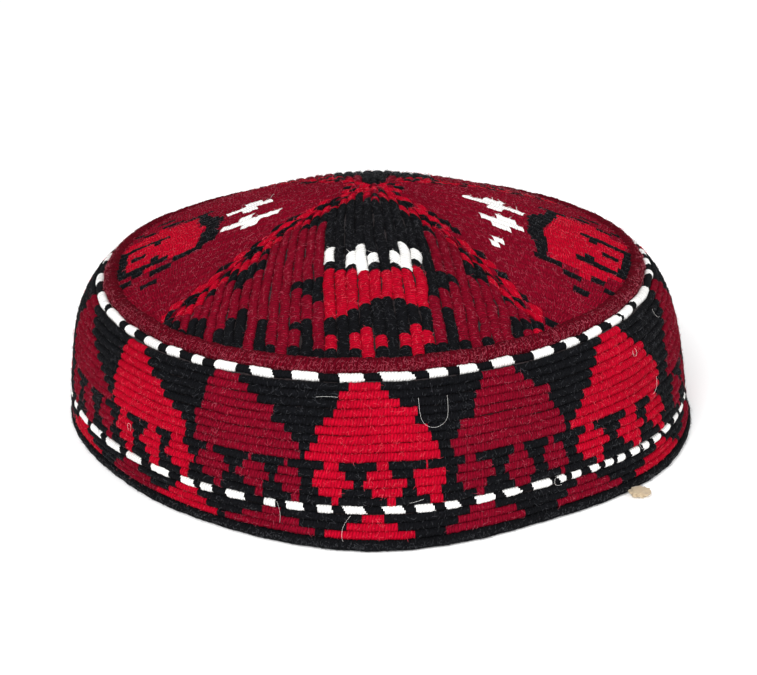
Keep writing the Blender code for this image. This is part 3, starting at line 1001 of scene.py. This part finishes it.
@dataclass
class Crown:
    """The domed top: four panels of wrapped ribs that fan to the rim, with chains along the mitres."""

    shape: CapShape
    panels: tuple[Panel, ...] = (
        Panel("crown_panel_front", -51.0, 4.0, 38.5),
        Panel("crown_panel_right", 38.5, 83.0, 128.0),
        Panel("crown_panel_back", 128.0, 178.0, 221.0),
        Panel("crown_panel_left", 221.0, 271.0, 309.0),
    )
    step: float = 0.5 * MM
    sides: int = 8
    thickness: float = 1.25 * MM
    tuck: float = 1.2 * MM
    mitre_gap: float = 0.12 * MM
    hand: float = 0.45
    links: tuple[MitreLink, ...] = (
        MitreLink(7.0, 12.0, ((0.0, 3.0, Thread.BRIGHT_RED),)),
        MitreLink(12.0, 17.0, ((0.0, 2.5, Thread.BLACK), (2.5, 5.0, Thread.BRIGHT_RED))),
        MitreLink(17.0, 22.0, ((0.0, 3.4, Thread.BRIGHT_RED), (3.4, 7.5, Thread.BLACK))),
        MitreLink(22.0, 27.0, (
            (0.0, 1.8, Thread.BLACK), (1.8, 4.6, Thread.BRIGHT_RED), (4.6, 6.8, Thread.BLACK),
        )),
        MitreLink(27.0, 32.0, ((0.0, 1.6, Thread.BRIGHT_RED),)),
        MitreLink(32.0, 37.0, ((0.0, 1.4, Thread.BLACK), (1.4, 3.4, Thread.BRIGHT_RED))),
        MitreLink(37.0, 42.0, (
            (0.0, 3.4, Thread.BRIGHT_RED), (3.4, 5.0, Thread.BLACK), (8.0, 13.0, Thread.BLACK),
        )),
        MitreLink(42.0, 47.0, (
            (0.0, 2.0, Thread.BLACK), (2.0, 5.4, Thread.BRIGHT_RED), (5.4, 11.5, Thread.BLACK),
        )),
        MitreLink(47.0, 52.0, ((0.0, 2.4, Thread.BRIGHT_RED), (2.4, 7.0, Thread.BLACK))),
        MitreLink(52.0, 57.0, ((0.0, 1.8, Thread.BLACK), (1.8, 4.0, Thread.BRIGHT_RED))),
        MitreLink(57.0, 62.0, (
            (0.0, 3.6, Thread.BRIGHT_RED), (3.6, 5.4, Thread.BLACK), (12.5, 19.0, Thread.BLACK),
        )),
        MitreLink(62.0, 67.0, (
            (0.0, 2.2, Thread.BLACK), (2.2, 5.8, Thread.BRIGHT_RED), (9.5, 16.0, Thread.BLACK),
        )),
        MitreLink(67.0, 72.0, ((0.0, 2.6, Thread.BRIGHT_RED), (4.8, 8.4, Thread.BLACK))),
        MitreLink(72.0, 77.0, ((0.0, 2.4, Thread.BLACK), (2.4, 5.0, Thread.BRIGHT_RED))),
    )
    side_reach: float = 5.2

    def front_chart(self) -> tuple[Bar, ...]:
        """The chart of the front and back panels, later blocks over earlier ones."""
        black, red, maroon, white = Thread.BLACK, Thread.BRIGHT_RED, Thread.MAROON, Thread.WHITE
        chart = [Bar(-5, 4, 0.0, 45.2, black), Bar(-5, 3, 45.2, 66.0, red)]
        feet = (63.5, 62.5, 60.5, 58.5, 57.0, 56.0, 57.0, 59.0, 61.5)
        for rib, foot in enumerate(feet, start=-5):
            chart.append(Bar(rib, rib, foot, 78.5, black))
        for rib in (-5, -3, -1, 1, 3):
            chart.append(Bar(rib, rib, 37.3, 42.2, white))
            chart.append(Bar(rib, rib, 69.8, 74.2, red))
        for rib in (-2, 2):
            chart.append(Bar(rib, rib, 33.5, 45.3, white))
            chart.append(Bar(rib, rib, 66.8, 77.6, red))
        chart += [
            Bar(-6, -6, 68.0, 75.0, maroon),
            Bar(-6, -6, 75.0, 78.5, black),
            Bar(-7, -7, 64.5, 78.5, black),
            Bar(-8, -8, 74.5, 78.5, black),
            Bar(-8, -8, 66.5, 69.0, black),
            Bar(4, 4, 45.0, 57.5, black),
            Bar(5, 5, 49.0, 55.5, black),
            Bar(6, 6, 51.0, 53.0, black),
            Bar(4, 4, 70.0, 75.0, maroon),
            Bar(4, 4, 75.0, 78.5, black),
            Bar(5, 5, 62.5, 78.5, black),
            Bar(6, 6, 75.0, 78.5, black),
            Bar(-6, -6, 48.5, 58.5, black),
            Bar(-7, -7, 50.5, 56.5, black),
            Bar(-8, -8, 52.0, 54.5, black),
            Bar(-11, -11, 66.5, 78.5, black),
            Bar(-10, -10, 75.0, 78.5, black),
            Bar(-13, -13, 65.0, 78.5, black),
            Bar(-14, -14, 68.5, 78.5, black),
            Bar(-15, -15, 73.0, 78.5, black),
            Bar(8, 8, 74.5, 78.5, black),
            Bar(11, 11, 70.5, 78.5, black),
        ]
        return tuple(chart)

    def apex_cells(self, reach: float) -> tuple[Bar, ...]:
        """The small cells round the crown's middle.

        Args:
            reach: how far out they go, in millimetres.

        Returns:
            The blocks.
        """
        found = [Bar(-6, 6, 0.0, reach, Thread.MAROON)]
        for rib in range(-5, 6):
            place = 0.6 + 1.3 * (rib % 3)
            kinds = (Thread.BRIGHT_RED, Thread.BLACK, Thread.BRIGHT_RED, Thread.MAROON)
            while place < reach - 1.0:
                kind = kinds[(rib + int(place)) % 4]
                found.append(Bar(rib, rib, place, min(place + 2.6, reach), kind))
                place += 2.6
        return tuple(found)

    def side_chart(self, whites: tuple[Bar, ...], outer: float, least: int, most: int) -> tuple[Bar, ...]:
        """The chart of the left and right panels.

        Args:
            whites: the white bars.
            outer: the radius in millimetres where they end.
            least: the first rib of the bright red figure.
            most: its last rib.

        Returns:
            The blocks, later ones over earlier ones.
        """
        black, red = Thread.BLACK, Thread.BRIGHT_RED
        chart = []
        for rib in range(least, most + 1):
            near = outer + 0.8 + max(0, abs(rib) - 2) * 2.1
            far = outer + 5.5 + 1.05 * abs(rib)
            last = rib in (least, most)
            chart.append(Bar(rib, rib, near, far, black))
            chart.append(Bar(rib, rib, far, 73.0 if last else 77.0, red))
        chart += both(3, 3, 62.5, 78.5, black)
        chart += both(2, 3, 65.0, 67.5, black)
        chart += both(0, 3, 75.0, 78.5, black)
        chart += both(0, 0, 69.5, 74.0, black)
        for rib in (least - 1, most + 1):
            chart.append(Bar(rib, rib, 53.0, 61.5, black))
            chart.append(Bar(rib, rib, 66.5, 70.0, red))
            chart.append(Bar(rib, rib, 70.0, 74.5, black))
        for rib in (least - 2, most + 2):
            chart.append(Bar(rib, rib, 63.0, 69.0, black))
            chart.append(Bar(rib, rib, 75.0, 78.5, black))
        for rib in (least - 4, most + 4):
            chart.append(Bar(rib, rib, 68.5, 74.0, black))
        return tuple(chart) + whites

    def threads_of(
        self,
        panel: Panel,
        rib: int,
        radius_mm: np.ndarray,
        start_mm: float,
        chart: tuple[Bar, ...],
        rng: np.random.Generator,
    ) -> np.ndarray:
        """The thread of each step of one rib.

        Args:
            panel: the rib's panel.
            rib: its number, from the panel's middle line.
            radius_mm: the steps' radii.
            start_mm: the radius of its mitre end.
            chart: the panel's blocks.
            rng: the random numbers.

        Returns:
            Numbers of the Thread enum.
        """
        found = np.full(len(radius_mm), Thread.MAROON.value)
        for bar in chart:
            if bar.first <= rib <= bar.last:
                low = bar.start + rng.normal() * 0.3
                high = bar.end + rng.normal() * 0.3
                found[(radius_mm > low) & (radius_mm < high)] = bar.thread.value
        past = radius_mm - start_mm
        rim_mm = self.shape.crown_edge / MM
        for link in self.links:
            if link.start <= start_mm < link.end:
                reach = self.side_reach if panel.name.endswith(("left", "right")) else rim_mm
                for near, far, thread in link.blocks:
                    if near > reach:
                        continue
                    low = near + rng.normal() * self.hand
                    high = min(far, reach + 1.0) + rng.normal() * self.hand
                    found[(past > low) & (past < high)] = thread.value
        return found

    def rib(
        self, mesh: CordMesh, panel: Panel, rib: int, chart: tuple[Bar, ...], rng: np.random.Generator
    ) -> None:
        """Lays one wrapped rib from its mitre to the rim."""
        turn = math.tau * (np.arange(self.sides) + 0.5) / self.sides
        line = rib + 0.53 * np.cos(turn)
        ends = self.shape.rib_start(panel, np.where(np.abs(line) < 1e-6, 1e-6, line))
        start = float(self.shape.rib_start(panel, np.array([rib + 1e-6]))[0])
        rim = self.shape.crown_edge + self.tuck
        count = max(6, int((rim - start) / self.step))
        share = np.linspace(0.0, 1.0, count)
        ends = np.minimum(ends, rim - 1.0 * MM) + self.mitre_gap
        radius = ends[None, :] + (rim - ends[None, :]) * share[:, None]
        length = (rim - start) * share
        taper = 0.55 + 0.45 * smooth_step(length / (0.9 * MM) + 0.1)
        full = taper * (1.0 + rng.normal(0.0, 0.022, count) + wander(rng, share, (3, 7, 11), 0.03))
        deep = self.thickness * full
        depth = self.thickness - deep[:, None] * np.sin(turn)[None, :] - 0.05 * MM
        sway = wander(rng, share, (1, 2, 3, 5), 0.085) * np.minimum(1.0, length / (8.0 * MM))
        lines = rib + sway[:, None] + 0.53 * (full / np.maximum(taper, 0.8))[:, None] * np.cos(turn)[None, :]
        points = self.shape.on_crown(panel, lines, radius, depth)
        radius_mm = (start + length[:-1]) / MM
        thread = self.threads_of(panel, rib, radius_mm, start / MM, chart, rng)
        mesh.add(mesh.lumpy(points, rng, 0.055), thread, girth_mm=7.0, closed=False)

    def build(self, finishes: list[bpy.types.Material]) -> list[bpy.types.Object]:
        """Makes the four panels.

        Args:
            finishes: the thread materials.

        Returns:
            One object for each panel, named after the node it stands for.
        """
        rng = np.random.default_rng(29)
        front = self.front_chart()
        white = Thread.WHITE
        right = (
            Bar(2, 2, 27.0, 45.4, white),
            Bar(1, 3, 34.0, 38.8, white),
            Bar(-2, -2, 33.0, 46.0, white),
            Bar(-3, -1, 37.0, 42.6, white),
            Bar(-6, -6, 41.0, 44.6, white),
            Bar(-7, -7, 42.2, 44.2, white),
        )
        left = (
            Bar(2, 2, 28.0, 46.0, white),
            Bar(1, 3, 35.6, 40.0, white),
            Bar(-2, -2, 31.0, 45.0, white),
            Bar(-3, -1, 35.0, 39.2, white),
        )
        crest = (Bar(-6, -2, 0.0, 15.0, Thread.MAROON), Bar(2, 6, 0.0, 15.0, Thread.MAROON))
        charts = (
            front + self.apex_cells(9.5),
            self.side_chart(right, 45.6, -5, 6) + self.apex_cells(8.5),
            front + crest,
            self.side_chart(left, 45.0, -6, 3) + self.apex_cells(8.5),
        )
        made = []
        for panel, chart in zip(self.panels, charts):
            mesh = CordMesh(panel.name.replace("panel", "ribs"))
            before = math.radians(panel.middle - panel.start) * self.shape.crown_edge / self.shape.rib_pitch
            after = math.radians(panel.end - panel.middle) * self.shape.crown_edge / self.shape.rib_pitch
            for rib in range(math.ceil(-before + 0.2), math.floor(after - 0.2) + 1):
                self.rib(mesh, panel, rib, chart, rng)
            made.append(mesh.build(finishes))
        return made


@dataclass
class GroundCloth:
    """The stitched cloth under the cords: near-black outside, as painted shade where it shows between and
    under the cords, and plain cotton inside.
    """

    shape: CapShape
    wall: float = 4.0 * MM
    crown_wall: float = 3.2 * MM
    cover: float = 1.2 * MM
    segments: int = 144

    def closed_shell(
        self,
        name: str,
        sections: np.ndarray,
        inner_from: int,
        materials: list[bpy.types.Material],
        joined_ends: bool,
    ) -> bpy.types.Object:
        """Makes a shell from sections round the cap.

        Args:
            name: the object's name.
            sections: points, as azimuths by section points by three.
            inner_from: the section point from which faces are the inside's cotton.
            materials: the outside's painted-shade material and the inside's cotton.
            joined_ends: whether the section's last point joins its first.

        Returns:
            The object.
        """
        total, across, _ = sections.shape
        spans = across if joined_ends else across - 1
        i, j = np.meshgrid(np.arange(total), np.arange(spans), indexing="ij")
        ahead, beside = (i + 1) % total, (j + 1) % across
        here, next_section = i * across, ahead * across
        quads = np.stack([here + j, next_section + j, next_section + beside, here + beside], axis=-1)
        mesh = bpy.data.meshes.new(name)
        mesh.from_pydata(sections.reshape(-1, 3).tolist(), [], quads.reshape(-1, 4).tolist())
        mesh.polygons.foreach_set("material_index", (j.reshape(-1) >= inner_from).astype(np.int32))
        for material in materials:
            mesh.materials.append(material)
        obj = bpy.data.objects.new(name, mesh)
        bpy.context.scene.collection.objects.link(obj)
        select_only(obj)
        bpy.ops.object.mode_set(mode="EDIT")
        bpy.ops.mesh.select_all(action="SELECT")
        bpy.ops.mesh.remove_doubles(threshold=1e-6)
        bpy.ops.mesh.normals_make_consistent(inside=False)
        bpy.ops.object.mode_set(mode="OBJECT")
        bpy.ops.object.shade_smooth()
        return obj

    def build(self, materials: list[bpy.types.Material]) -> list[bpy.types.Object]:
        """Makes the side's cloth and the crown's.

        Args:
            materials: the outside's painted-shade material and the inside's cotton.

        Returns:
            The two shells.
        """
        azimuth = np.linspace(0.0, 360.0, self.segments, endpoint=False)
        foot, top = 4.0 * MM, self.shape.rim_length
        up = np.linspace(foot, top, 14)
        length = np.concatenate([up, up[::-1]])
        depth = np.concatenate([np.full(14, self.cover), np.full(14, self.wall)])
        side = self.shape.on_side(
            length[None, :] + 0.0 * azimuth[:, None], depth[None, :] + 0.0 * azimuth[:, None],
            azimuth[:, None] + 0.0 * length[None, :],
        )
        band = self.closed_shell("band_ground_cloth", side, 14, materials, joined_ends=True)
        whole = Panel("whole", 0.0, 0.0, 360.0)
        out = np.linspace(0.0, self.shape.crown_edge + 1.5 * MM, 18)
        radius = np.concatenate([out, out[::-1]])
        depth = np.concatenate([np.full(18, self.cover), np.full(18, self.crown_wall)])
        near = np.maximum(radius, 0.05 * MM)
        arc = near**self.shape.fan_power * self.shape.crown_edge ** (1.0 - self.shape.fan_power)
        line = np.radians(azimuth)[:, None] * arc[None, :] / self.shape.rib_pitch
        points = self.shape.on_crown(whole, line, radius[None, :] + 0.0 * line, depth[None, :] + 0.0 * line)
        points[:, 0] = points[:, 0].mean(axis=0)
        points[:, -1] = points[:, -1].mean(axis=0)
        crown = self.closed_shell("crown_ground_cloth", points, 18, materials, joined_ends=False)
        return [band, crown]


@dataclass
class HemBinding:
    """The bound edge that the cap stands on: black wool wrapped over a flat foot."""

    shape: CapShape
    height: float = 3.1 * MM
    outward: float = 0.3 * MM
    wall: float = 4.3 * MM
    step: float = 0.6 * MM

    def build(self, finish: bpy.types.Material) -> bpy.types.Object:
        """Makes the binding.

        Args:
            finish: its material.

        Returns:
            The binding's object.
        """
        rng = np.random.default_rng(5)
        rings = int(math.tau * self.shape.hem_radius / self.step)
        azimuth = np.linspace(0.0, 360.0, rings, endpoint=False)
        places = azimuth / 360.0
        middle = self.shape.hem_radius + self.outward - (self.wall + self.outward) / 2
        turn = math.tau * (np.arange(14) + 0.5) / 14
        squared_r = np.sign(np.cos(turn)) * np.abs(np.cos(turn)) ** 0.6
        squared_h = np.sign(np.sin(turn)) * np.abs(np.sin(turn)) ** 0.6
        full = 1.0 + wander(rng, places, (17, 31, 57, 90), 0.05) + rng.normal(0.0, 0.02, rings)
        radius = middle + (self.wall + self.outward) / 2 * full[:, None] * squared_r[None, :]
        height = self.height / 2 + self.height / 2 * squared_h[None, :] * full[:, None]
        height = np.clip(height, 0.0, None)
        mesh = CordMesh("hem_binding_wrap")
        points = self.shape.placed(radius, height, azimuth[:, None] + 0.0 * radius)
        points[..., 2] = np.maximum(points[..., 2], 0.0)
        mesh.add(points, np.zeros(rings, int), girth_mm=14.0, closed=True)
        return mesh.build([finish])


@dataclass
class LiningScrap:
    """A bit of raw lining that shows on the floor against the hem."""

    node: str = "lining_scrap"

    def build(self, finish: bpy.types.Material) -> bpy.types.Object:
        """Makes the scrap, crumpled, in its node's box.

        Args:
            finish: its material.

        Returns:
            The scrap's object.
        """
        low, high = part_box(self.node)
        middle, size = (low + high) / 2, high - low
        bpy.ops.object.select_all(action="DESELECT")
        bpy.ops.mesh.primitive_ico_sphere_add(subdivisions=4, radius=0.5, location=(0.0, 0.0, 0.0))
        obj = bpy.context.active_object
        obj.name = "lining_scrap_cloth"
        rng = np.random.default_rng(3)
        waves = rng.normal(0.0, 1.0, (6, 3)) * 5.0
        phase = rng.random(6) * math.tau
        for vert in obj.data.vertices:
            place = np.array(vert.co)
            crumple = sum(math.sin(float(w @ place) * 2.0 + p) for w, p in zip(waves, phase)) / 6.0
            vert.co *= 1.0 + 0.35 * crumple
            vert.co.x = min(0.5, max(-0.5, vert.co.x))
            vert.co.y = min(0.5, max(-0.5, vert.co.y))
            vert.co.z = min(0.5, max(-0.5, vert.co.z))
            vert.co = middle + Vector((vert.co.x * size.x, vert.co.y * size.y, vert.co.z * size.z))
        obj.data.materials.append(finish)
        select_only(obj)
        bpy.ops.object.shade_smooth()
        return obj


@dataclass
class Fuzz:
    """Short fibres that stand off the wool."""

    name: str
    count: int
    longest: float = 1.9 * MM
    width: float = 0.075 * MM
    over_floor: float = 0.05 * MM
    seed: int = 41

    def build(self, sources: list[bpy.types.Object], finishes: list[bpy.types.Material]) -> bpy.types.Object:
        """Makes the fibres on the outer faces of some pieces.

        Args:
            sources: the pieces.
            finishes: the fibres' materials, in the order of the pieces' own.

        Returns:
            The fibres' object.
        """
        rng = np.random.default_rng(self.seed)
        middles, normals, areas, kinds = [], [], [], []
        for source in sources:
            total = len(source.data.polygons)
            flat = {key: np.zeros(total * 3) for key in ("center", "normal")}
            for key, values in flat.items():
                source.data.polygons.foreach_get(key, values)
            area, kind = np.zeros(total), np.zeros(total, int)
            source.data.polygons.foreach_get("area", area)
            source.data.polygons.foreach_get("material_index", kind)
            middles.append(flat["center"].reshape(-1, 3))
            normals.append(flat["normal"].reshape(-1, 3))
            areas.append(area)
            kinds.append(kind)
        middle, normal = np.concatenate(middles), np.concatenate(normals)
        area, kind = np.concatenate(areas), np.concatenate(kinds)
        outward = middle - np.array([0.0, 0.0, 20.0 * MM])
        outward /= np.linalg.norm(outward, axis=1, keepdims=True)
        weight = area * np.clip((normal * outward).sum(axis=1) - 0.35, 0.0, None)
        chosen = rng.choice(len(weight), self.count, p=weight / weight.sum())
        base = middle[chosen] + rng.normal(0.0, 0.15 * MM, (self.count, 3))
        up = normal[chosen]
        aside = np.cross(up, rng.normal(size=(self.count, 3)))
        aside /= np.linalg.norm(aside, axis=1, keepdims=True)
        across = np.cross(up, aside)
        reach = self.longest * (0.25 + 0.75 * rng.random((self.count, 1)) ** 2)
        lift = 0.10 + 0.30 * rng.random((self.count, 1)) ** 2
        bend = rng.normal(0.0, 0.35, (self.count, 1))
        flat_side = across + up * rng.normal(0.0, 0.5, (self.count, 1))
        rungs = []
        for along, raised in ((0.0, -0.1), (0.4, 0.8), (0.75, 1.0), (1.0, 0.6)):
            spine = base + aside * reach * along + across * reach * bend * along**2
            spine = spine + up * reach * lift * raised
            half = flat_side * (self.width / 2 * (1.0 - 0.6 * along))
            rungs += [spine - half, spine + half]
        points = np.stack(rungs, axis=1).reshape(-1, 3)
        points[:, 2] = np.maximum(points[:, 2], self.over_floor)
        start = 8 * np.arange(self.count)[:, None]
        quads = np.stack([start + np.array([k, k + 2, k + 3, k + 1]) for k in (0, 2, 4)], axis=1)
        mesh = bpy.data.meshes.new(self.name)
        mesh.from_pydata(points.tolist(), [], quads.reshape(-1, 4).tolist())
        mesh.polygons.foreach_set("material_index", np.repeat(kind[chosen], 3).astype(np.int32))
        for finish in finishes:
            mesh.materials.append(finish)
        obj = bpy.data.objects.new(self.name, mesh)
        bpy.context.scene.collection.objects.link(obj)
        return obj


@dataclass(frozen=True)
class Hair:
    """A loose hair on the side: the azimuths and the lengths up the outline, in millimetres, it passes."""

    route: tuple[tuple[float, float], ...]


@dataclass
class LooseHairs:
    """Single pale hairs that have caught on the wool."""

    shape: CapShape
    thickness: float = 0.026 * MM
    off: float = 0.20 * MM
    strays: int = 24
    charted: tuple[Hair, ...] = (
        Hair(((7.7, 41.5), (7.7, 37.0), (8.4, 34.2), (10.3, 33.0), (12.2, 34.3), (12.9, 37.0), (12.9, 41.5))),
        Hair(((-4.0, 10.0), (-5.0, 8.0), (-5.5, 5.0), (-5.2, 2.4), (-4.4, 0.6))),
        Hair(((-10.4, 42.2), (-8.5, 42.6), (-6.5, 42.3))),
        Hair(((-16.5, 12.0), (-15.6, 9.0), (-15.9, 6.0))),
    )

    def build(self, finish: bpy.types.Material) -> bpy.types.Object:
        """Makes the hairs.

        Args:
            finish: their material.

        Returns:
            The hairs' object.
        """
        rng = np.random.default_rng(17)
        routes = [np.array(hair.route) for hair in self.charted]
        for _ in range(self.strays):
            heading, turn = rng.random() * math.tau, rng.normal(0.0, 0.5)
            place = np.array([rng.random() * 360.0, 4.0 + rng.random() * 44.0])
            route = [place]
            for _ in range(5):
                place = place + np.array([0.62 * math.cos(heading), math.sin(heading)]) * (0.6 + rng.random())
                heading += turn
                route.append(place)
            routes.append(np.array(route))
        curve = bpy.data.curves.new("loose_hairs", "CURVE")
        curve.dimensions = "3D"
        curve.bevel_depth = self.thickness
        curve.bevel_resolution = 0
        curve.resolution_u = 4
        for route in routes:
            length = np.clip(route[:, 1], 1.0, 48.5) * MM
            points = self.shape.on_side(length, np.full(len(route), -self.off), route[:, 0])
            line = curve.splines.new("NURBS")
            line.points.add(len(points) - 1)
            line.points.foreach_set("co", np.concatenate([points, np.ones((len(points), 1))], axis=1).ravel())
            line.use_endpoint_u = True
            line.order_u = 3
        obj = bpy.data.objects.new("loose_hairs", curve)
        bpy.context.scene.collection.objects.link(obj)
        select_only(obj)
        bpy.ops.object.convert(target="MESH")
        made = bpy.context.active_object
        made.data.materials.clear()
        made.data.materials.append(finish)
        bpy.ops.object.shade_smooth()
        return made


@dataclass
class Studio:
    """The floor, the soft lights and the camera."""

    distance: float = 0.800
    elevation: float = 21.5
    lens: float = 124.3
    roll: float = -0.4
    floor_white: float = 0.9
    floor_glow: float = 0.22
    sky_strength: float = 0.62
    target: Vector = Vector((0.00116, 0.0, 0.02396))

    def build(self, middle: np.ndarray) -> None:
        """Makes the stage.

        Args:
            middle: where the frame has put the cap's middle.
        """
        bpy.ops.object.select_all(action="DESELECT")
        bpy.ops.mesh.primitive_plane_add(size=6.0, location=(0.0, 0.0, -0.0002))
        floor = bpy.context.active_object
        floor.name = "floor"
        paper = NodeSheet("floor_paper")
        paper.surface.inputs["Base Color"].default_value = (*[self.floor_white] * 3, 1.0)
        paper.surface.inputs["Roughness"].default_value = 0.9
        paper.surface.inputs["Emission Color"].default_value = (1.0, 1.0, 1.0, 1.0)
        paper.surface.inputs["Emission Strength"].default_value = self.floor_glow
        floor.data.materials.append(paper.material)
        floor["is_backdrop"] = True
        world = bpy.data.worlds.new("studio")
        world.use_nodes = True
        world.node_tree.nodes["Background"].inputs["Color"].default_value = (1.0, 1.0, 1.0, 1.0)
        world.node_tree.nodes["Background"].inputs["Strength"].default_value = self.sky_strength
        bpy.context.scene.world = world
        bpy.context.scene.view_settings.view_transform = "Standard"
        self.lamp("key", (-0.35, -1.0, 0.85), 0.5, 15.0)
        self.lamp("fill", (1.0, -0.7, 0.6), 0.8, 7.0)
        data = bpy.data.cameras.new("camera")
        data.lens = self.lens
        data.clip_start = 0.01
        camera = bpy.data.objects.new("camera", data)
        bpy.context.scene.collection.objects.link(camera)
        lift = math.radians(self.elevation)
        back = Vector((0.0, -math.cos(lift), math.sin(lift)))
        camera.location = self.target + Vector(middle) + back * self.distance
        camera.rotation_euler = back.to_track_quat("Z", "Y").to_euler()
        camera.rotation_euler.rotate_axis("Z", math.radians(self.roll))
        bpy.context.scene.camera = camera

    def lamp(self, name: str, place: tuple[float, float, float], size: float, watts: float) -> None:
        """Adds a square soft light that faces the cap."""
        data = bpy.data.lights.new(name, "AREA")
        data.size = size
        data.energy = watts
        obj = bpy.data.objects.new(name, data)
        obj.location = place
        obj.rotation_euler = Vector(place).to_track_quat("Z", "Y").to_euler()
        bpy.context.scene.collection.objects.link(obj)


def corners_of(box: tuple[Vector, Vector]) -> list[list[float]]:
    """A box as plain lists."""
    return [list(box[0]), list(box[1])]


def dress(piece: bpy.types.Object, slot: str, *nodes: str) -> None:
    """Puts a finished piece on the cap in place of its nodes."""
    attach(piece, "root")
    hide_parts(*nodes)
    LOG.info("%s: %d faces for %s", piece.name, len(piece.data.polygons), ", ".join(nodes))


def main() -> dict[str, list[list[float]]]:
    """Loads the frame and builds the cap's pieces from the floor up.

    Returns:
        The frame's box before dressing.
    """
    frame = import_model()
    packed = corners_of(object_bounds())
    LOG.info("frame with %d nodes", len(frame["nodes"]))
    shape = CapShape()
    Studio().build(shape.middle)
    threads = [WRAPS[thread].material() for thread in Thread]
    band = SideBand(shape)
    binding = HemBinding(shape).build(HEM_WOOL.material())
    dress(binding, "hem_binding", "hem_binding")
    rows = band.build(threads)
    for piece in rows:
        dress(piece, "side_band", "side_band")
    lower = CheckedCord(
        "lower_checked_cord_wrap", shape, shape.waist_length, 1.15 * MM, LOWER_DASHES, 3.1, 2.4, seed=7
    )
    dress(lower.build(threads), "checked_cord", "lower_checked_cord")
    upper = CheckedCord(
        "upper_checked_cord_wrap", shape, shape.rim_length, 1.35 * MM, UPPER_DASHES, 4.6, 3.3, seed=8
    )
    dress(upper.build(threads), "checked_cord", "upper_checked_cord")
    piping = RolledRing(
        "crown_piping_roll", shape, shape.rim_length + 3.75 * MM, 2.6 * MM, 2.6 * MM, 2.35 * MM, seed=13
    )
    roll = piping.build(PIPING_WOOL.material())
    dress(roll, "crown_piping", "crown_piping")
    crown = Crown(shape)
    ribs = crown.build(threads)
    for panel, piece in zip(crown.panels, ribs):
        dress(piece, "crown", panel.name)
    fibres = [FIBRES[thread].material() for thread in Thread]
    dress(Fuzz("band_fuzz", 16000, seed=41).build(rows, fibres), "side_band", "side_band")
    dress(Fuzz("crown_fuzz", 18000, seed=42).build(ribs, fibres), "crown", "crown_panel_front")
    nap = Fuzz("piping_fuzz", 9000, longest=1.5 * MM, seed=43)
    dress(nap.build([roll], [fibres[Thread.MAROON.value]]), "crown_piping", "crown_piping")
    frayed = Fuzz("hem_fuzz", 4500, longest=1.5 * MM, seed=44)
    dress(frayed.build([binding], [fibres[Thread.BLACK.value]]), "hem_binding", "hem_binding")
    dress(LooseHairs(shape).build(fibres[Thread.WHITE.value]), "side_band", "side_band")
    # The first material is painted shade on the cloth's outside between the cords; the second is the cotton
    # lining.
    cloths = [CORD_GAP_SHADE_CLOTH.material(), LINING_COTTON.material()]
    nodes = ("side_band", "crown_panel_front")
    for piece, slot, node in zip(GroundCloth(shape).build(cloths), ("side_band", "crown"), nodes):
        dress(piece, slot, node)
    dress(LiningScrap().build(cloths[1]), "lining_scrap", "lining_scrap")
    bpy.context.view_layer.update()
    return {"frame": packed}


if __name__ == "__main__":
    logging.basicConfig(level=logging.INFO)
    main()
